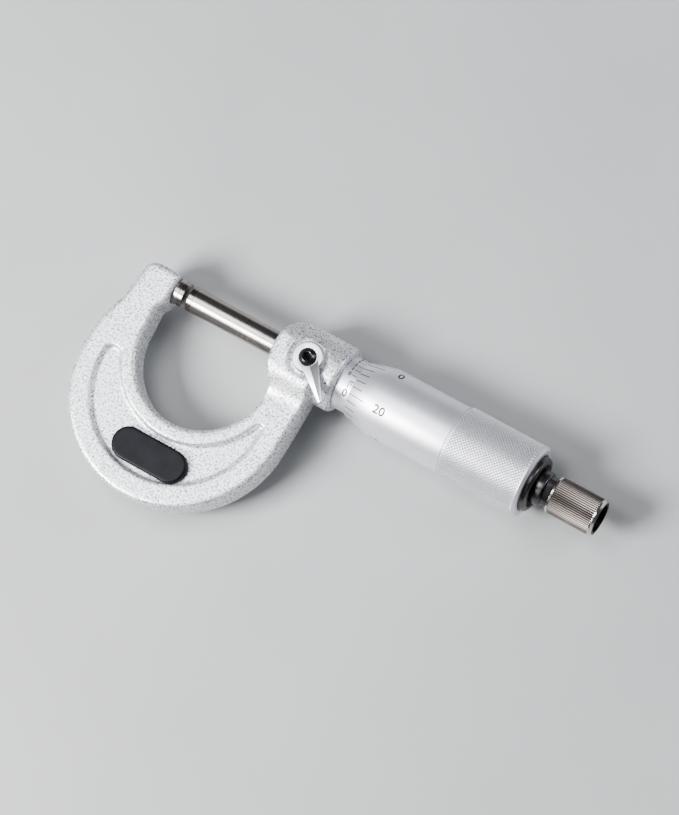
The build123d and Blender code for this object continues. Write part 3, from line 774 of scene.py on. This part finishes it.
thimble_marks = bmesh.new()
for division in range(THIMBLE_DIVISIONS):
    turns = (division - THIMBLE_READING) / THIMBLE_DIVISIONS
    y = turns * math.tau * BARREL_R
    has_figure = division % THIMBLE_DIVISIONS_PER_FIGURE == 0
    length = THIMBLE_LONG_LINE if has_figure else THIMBLE_SHORT_LINE
    flat_line(thimble_marks, lip_x + THIMBLE_LINE_FROM_LIP + length / 2, y,
              length, THIMBLE_LINE_W)
    if has_figure:
        flat_number(thimble_marks, str(division), lip_x + THIMBLE_FIGURE_FROM_LIP, y,
                    THIMBLE_FIGURE_H)
engrave(thimble_marks, BARREL_R,
        lambda x: min(BARREL_R, LIP_R + (BARREL_R - LIP_R) * (x - lip_x) / BEVEL_L))
finished(thimble_marks, "thimble_graduations", "thimble", "black_steel", engraving_fill)


# ---- thimble cap and ratchet stem ----
# A plain stepped steel cap closes the thimble. The ratchet stem is a collared screw through it
# that clamps the thimble on the spindle's taper.
CAP_BORE_R = 2.55
CAP_CHAMFER = 0.5
CAP_STEP_R = 5.7
CAP_STEP_CHAMFER = 0.15
CAP_DISH = 0.8
CAP_DISH_WALL = 0.5
CAP_EDGE = 0.12
STEM_SCREW_R = 2.0
STEM_SHANK_R = 2.5
STEM_SHOULDER_GAP = 0.05
COLLAR_L = 2.5
COLLAR_CHAMFER = 0.35
NECK_R = 3.8
NECK_L = 1.5
POST_R = 1.6
STEM_EDGE = 0.08

plain_steel, _, _ = lathe_steel(
    "plain_turned_steel", colours=[(0.10, 0.095, 0.10), (0.18, 0.17, 0.17)],
    roughness=(0.26, 0.36), line_mm=0.2)

cap_low, cap_high = size_of("thimble_cap")
cap_radius = cap_high.z
dish_x = cap_high.x - CAP_DISH
cap = turned([
    (cap_low.x, CAP_BORE_R),
    (cap_low.x, cap_radius),
    (cap_high.x - CAP_CHAMFER, cap_radius),
    (cap_high.x, cap_radius - CAP_CHAMFER),
    (cap_high.x, CAP_STEP_R),
    (cap_high.x - CAP_STEP_CHAMFER, CAP_STEP_R - CAP_STEP_CHAMFER),
    (dish_x, CAP_STEP_R - CAP_DISH_WALL),
    (dish_x, CAP_BORE_R)])
break_edges(cap, CAP_EDGE)
finished(cap, "thimble_cap_disc", "thimble", "dark_steel", plain_steel,
         stands_for=["thimble_cap"])

stem_low, stem_high = size_of("ratchet_stem")
collar_radius = stem_high.z
shoulder_x = cap_low.x + STEM_SHOULDER_GAP
collar_end = cap_high.x + COLLAR_L
stem = turned([
    (stem_low.x, 0),
    (stem_low.x, STEM_SCREW_R),
    (shoulder_x, STEM_SCREW_R),
    (shoulder_x, STEM_SHANK_R),
    (dish_x, STEM_SHANK_R),
    (dish_x, collar_radius),
    (collar_end - COLLAR_CHAMFER, collar_radius),
    (collar_end, collar_radius - COLLAR_CHAMFER),
    (collar_end, NECK_R),
    (collar_end + NECK_L, NECK_R),
    (collar_end + NECK_L, POST_R),
    (stem_high.x, POST_R),
    (stem_high.x, 0)])
break_edges(stem, STEM_EDGE)
finished(stem, "ratchet_stem_screw", "thimble", "dark_steel", plain_steel,
         stands_for=["ratchet_stem"])


# ---- ratchet knob ----
# A turned steel knob with fine straight knurling between two smooth turned bands. The bands'
# colour is a brighter copy of the steel's, a painted highlight; their lower roughness is the
# turned finish. The flutes carry painted shade towards their bottoms. It turns on the stem's post.
KNOB_FLUTES = 54
STEPS_PER_FLUTE = 6
FLUTE_DEPTH = 0.2
FLUTE_RUN_OUT = 0.1
FLUTE_UNSHADED_TOP = 0.02
FRONT_BAND = 0.75
FRONT_CHAMFER = 0.35
REAR_BAND = 0.9
REAR_CHAMFER = 0.5
REAR_RIM = 1.2
RECESS_WALL = 1.5
KNOB_BORE_R = 3.6
KNOB_BORE_L = 7.2
KNOB_WEB = 2.4
POST_GAP = 0.04
HIGHLIGHT_BAND_DEPTH = 0.6
AT_THE_SURFACE = 0.01

knob_low, knob_high = size_of("ratchet_knob")
knob_radius = knob_high.z
front_band_x = knob_low.x + FRONT_BAND
rear_band_x = knob_high.x - REAR_BAND
web_x = knob_low.x + KNOB_BORE_L
recess_x = web_x + KNOB_WEB
knob = turned([
    (knob_low.x, KNOB_BORE_R),
    (knob_low.x, knob_radius - FRONT_CHAMFER),
    (knob_low.x + FRONT_CHAMFER, knob_radius),
    (front_band_x, knob_radius),
    (front_band_x + FLUTE_RUN_OUT, knob_radius),
    (rear_band_x - FLUTE_RUN_OUT, knob_radius),
    (rear_band_x, knob_radius),
    (knob_high.x - REAR_CHAMFER, knob_radius),
    (knob_high.x, knob_radius - REAR_CHAMFER),
    (knob_high.x, knob_radius - REAR_RIM),
    (recess_x, knob_radius - RECESS_WALL),
    (recess_x, POST_R + POST_GAP),
    (web_x, POST_R + POST_GAP),
    (web_x, KNOB_BORE_R)], steps=KNOB_FLUTES * STEPS_PER_FLUTE)
flute_low = front_band_x + FLUTE_RUN_OUT / 2
flute_high = rear_band_x - FLUTE_RUN_OUT / 2
for v in knob.verts:
    on_surface = from_axis(v.co) > knob_radius - AT_THE_SURFACE
    if on_surface and flute_low < v.co.x < flute_high:
        phase = math.atan2(v.co.z, v.co.y) * KNOB_FLUTES
        set_radius(v, knob_radius - FLUTE_DEPTH * (0.5 - 0.5 * math.cos(phase)))
knob_steel, knob_shader, knob_place = lathe_steel(
    "brown_turned_steel", colours=[(0.34, 0.30, 0.28), (0.46, 0.41, 0.385)],
    roughness=(0.38, 0.46), line_mm=0.2)
# Painted shade: the flutes' colour darkens towards their bottoms.
darken_cuts(knob_steel, knob_shader, knob_place, knob_radius - FLUTE_DEPTH,
            knob_radius - FLUTE_UNSHADED_TOP, dark=(0.05, 0.043, 0.04))
# Painted highlight: the smooth bands get a brighter copy of the knob's steel colour; their lower
# roughness is the real turned finish.
band_highlight_steel, _, _ = lathe_steel(
    "highlight_painted_turned_steel", colours=[(0.66, 0.65, 0.64), (0.76, 0.75, 0.74)],
    roughness=(0.14, 0.24))
for face in knob.faces:
    middle = face.calc_center_median()
    outside = from_axis(middle) > knob_radius - HIGHLIGHT_BAND_DEPTH
    on_a_band = not flute_low < middle.x < flute_high
    face.material_index = 1 if outside and on_a_band else 0
finished(knob, "ratchet_knob_turning", "ratchet_knob", "dark_steel", knob_steel, band_highlight_steel,
         stands_for=["ratchet_knob"])


# ---- ratchet end screw ----
# A black oxide cheese-head screw with a sawn slot. It sits in the knob's recess, is screwed into
# the stem's post and keeps the knob on.
OXIDE_MOTTLE_MM = 1.2
OXIDE_GRAIN_MM = 0.5
END_SCREW_STEPS = 96
END_SCREW_R = 0.9
HEAD_L = 1.7
HEAD_CHAMFER = 0.3
SLOT_W = 0.7
SLOT_D = 0.7

oxide_black, oxide_shader, oxide_place = blank_material(
    "oxide_black", colour=(0.02, 0.02, 0.022), metallic=0.8, roughness=0.3)
vary_colour(oxide_black, oxide_shader,
            grain(oxide_black, oxide_place, OXIDE_MOTTLE_MM, detail=4),
            [(0.3, (0.05, 0.05, 0.055)), (0.75, (0.12, 0.12, 0.13))])
vary_roughness(oxide_black, oxide_shader, grain(oxide_black, oxide_place, OXIDE_GRAIN_MM),
               0.2, 0.3)

screw_low, screw_high = size_of("ratchet_end_screw")
head_radius = screw_high.z
head_x = screw_high.x - HEAD_L
end_screw = turned([
    (screw_low.x, 0),
    (screw_low.x, END_SCREW_R),
    (head_x, END_SCREW_R),
    (head_x, head_radius),
    (screw_high.x - HEAD_CHAMFER, head_radius),
    (screw_high.x, head_radius - HEAD_CHAMFER),
    (screw_high.x, 0)], steps=END_SCREW_STEPS)
for side in (-1, 1):
    bmesh.ops.bisect_plane(
        end_screw, geom=end_screw.verts[:] + end_screw.edges[:] + end_screw.faces[:],
        plane_co=(0, side * SLOT_W / 2, 0), plane_no=(0, 1, 0))


def in_the_slot(face):
    middle = face.calc_center_median()
    return middle.x > screw_high.x - HEAD_CHAMFER and abs(middle.y) < SLOT_W / 2


slot_faces = [f for f in end_screw.faces if in_the_slot(f)]
slot_floor = new_corners(bmesh.ops.extrude_face_region(end_screw, geom=slot_faces))
bmesh.ops.delete(end_screw, geom=slot_faces, context="FACES")
for v in slot_floor:
    v.co.x = screw_high.x - SLOT_D
bmesh.ops.recalc_face_normals(end_screw, faces=end_screw.faces)
finished(end_screw, "ratchet_end_screw_head", "thimble", "black_steel", oxide_black,
         stands_for=["ratchet_end_screw"])


# ---- spindle lock ----
# A bright steel lever with a round eye and a ridged, tapering blade. A black button-head screw
# with a hexagon socket fixes it on the lock's threaded stem.
LEVER_EDGE = 0.13
BRUSH_MM = 0.3
BRUSH_STRETCH = (0.25, 1, 1)
BRUSH_DEPTH_MM = 0.001
LEVER_MOTTLE_MM = 3.0
BUTTON_STEPS = 48
BUTTON_R = 2.4
BUTTON_H = 1.4
BUTTON_SHANK_R = 0.85
DOME_STEPS = 10
SOCKET_SIDES = 6
SOCKET_R = 1.155
SOCKET_MOUTH_R = 1.2243
SOCKET_CHAMFER = 0.05
SOCKET_D = 0.9
DRILL_POINT = 1.1

satin_bright, bright_shader, bright_place = blank_material(
    "satin_bright_steel", colour=(0.78, 0.78, 0.8), metallic=1, roughness=0.36)
brushing = grain(satin_bright, bright_place, BRUSH_MM, stretch=BRUSH_STRETCH, detail=2)
vary_colour(satin_bright, bright_shader, grain(satin_bright, bright_place, LEVER_MOTTLE_MM),
            [(0.3, (0.70, 0.70, 0.72)), (0.7, (0.82, 0.82, 0.84))])
vary_roughness(satin_bright, bright_shader, brushing, 0.34, 0.42)
add_bump(satin_bright, bright_shader, brushing, BRUSH_DEPTH_MM)

lever = machined_copy("lock_lever")
break_edges(lever, LEVER_EDGE, segments=3, sharper_than=24)
finished(lever, "lock_lever_forging", "lock_lever", "bright_steel", satin_bright,
         stands_for=["lock_lever"], crease=35)

button_low, button_high = size_of("lock_lever_screw")
pivot = (button_low + button_high) / 2
under_head = button_high.z - BUTTON_H
dome_radius = (BUTTON_R ** 2 + BUTTON_H ** 2) / (2 * BUTTON_H)
mouth_angle = math.asin(SOCKET_MOUTH_R / dome_radius)
edge_angle = math.asin(BUTTON_R / dome_radius)
dome_angles = [
    mouth_angle + (edge_angle - mouth_angle) * step / DOME_STEPS for step in range(DOME_STEPS + 1)]
half_outline = [
    (dome_radius * math.sin(angle), dome_radius * math.cos(angle) - dome_radius + button_high.z)
    for angle in dome_angles]
mouth_z = half_outline[0][1]
half_outline += [
    (BUTTON_R, under_head),
    (BUTTON_SHANK_R, under_head),
    (BUTTON_SHANK_R, button_low.z),
    (0, button_low.z)]
button = bmesh.new()
button_points = [button.verts.new((r, 0, z)) for r, z in half_outline]
button_edges = [button.edges.new(pair) for pair in zip(button_points, button_points[1:])]
bmesh.ops.spin(
    button, geom=button_points + button_edges, cent=(0, 0, 0), axis=(0, 0, 1), dvec=(0, 0, 0),
    angle=math.tau, steps=BUTTON_STEPS, use_merge=True, use_duplicate=False)
bmesh.ops.remove_doubles(button, verts=button.verts, dist=POLE_WELD)
bmesh.ops.create_circle(
    button, cap_ends=False, segments=SOCKET_SIDES, radius=SOCKET_R,
    matrix=Matrix.Translation((0, 0, mouth_z - SOCKET_CHAMFER)))
hexagon = [e for e in button.edges if e.is_wire]
bmesh.ops.subdivide_edges(button, edges=hexagon, cuts=BUTTON_STEPS // SOCKET_SIDES - 1)
bmesh.ops.bridge_loops(button, edges=[e for e in button.edges if e.is_boundary or e.is_wire])
mouth = [e for e in button.edges if e.is_boundary]
for v in new_corners(bmesh.ops.extrude_edge_only(button, edges=mouth)):
    v.co.z = button_high.z - SOCKET_D
socket_foot = [e for e in button.edges if e.is_boundary]
socket_floor = bmesh.ops.contextual_create(button, geom=socket_foot)["faces"]
for v in bmesh.ops.poke(button, faces=socket_floor)["verts"]:
    v.co.z -= DRILL_POINT
bmesh.ops.translate(button, verts=button.verts, vec=(pivot.x, pivot.y, 0))
bmesh.ops.recalc_face_normals(button, faces=button.faces)
finished(button, "lock_button_screw", "lock_lever", "black_steel", oxide_black,
         stands_for=["lock_lever_screw"])


# ---- hidden works ----
# The inner sleeve, its adjusting nut, the ratchet's plunger and spring, and the lock's stem are
# turned steel; the lock plug is turned brass so that it can't mark the spindle.
STEEL_WORKS = ("inner_sleeve", "adjusting_nut", "ratchet_plunger", "ratchet_spring", "lock_stem")

turned_brass, _, _ = lathe_steel(
    "turned_brass", colours=[(0.62, 0.44, 0.18), (0.78, 0.60, 0.28)], roughness=(0.2, 0.34))


def give_finish(node, material):
    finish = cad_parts[node].data.materials
    finish.clear()
    finish.append(material)


for node in STEEL_WORKS:
    give_finish(node, ground_steel)
give_finish("lock_plug", turned_brass)
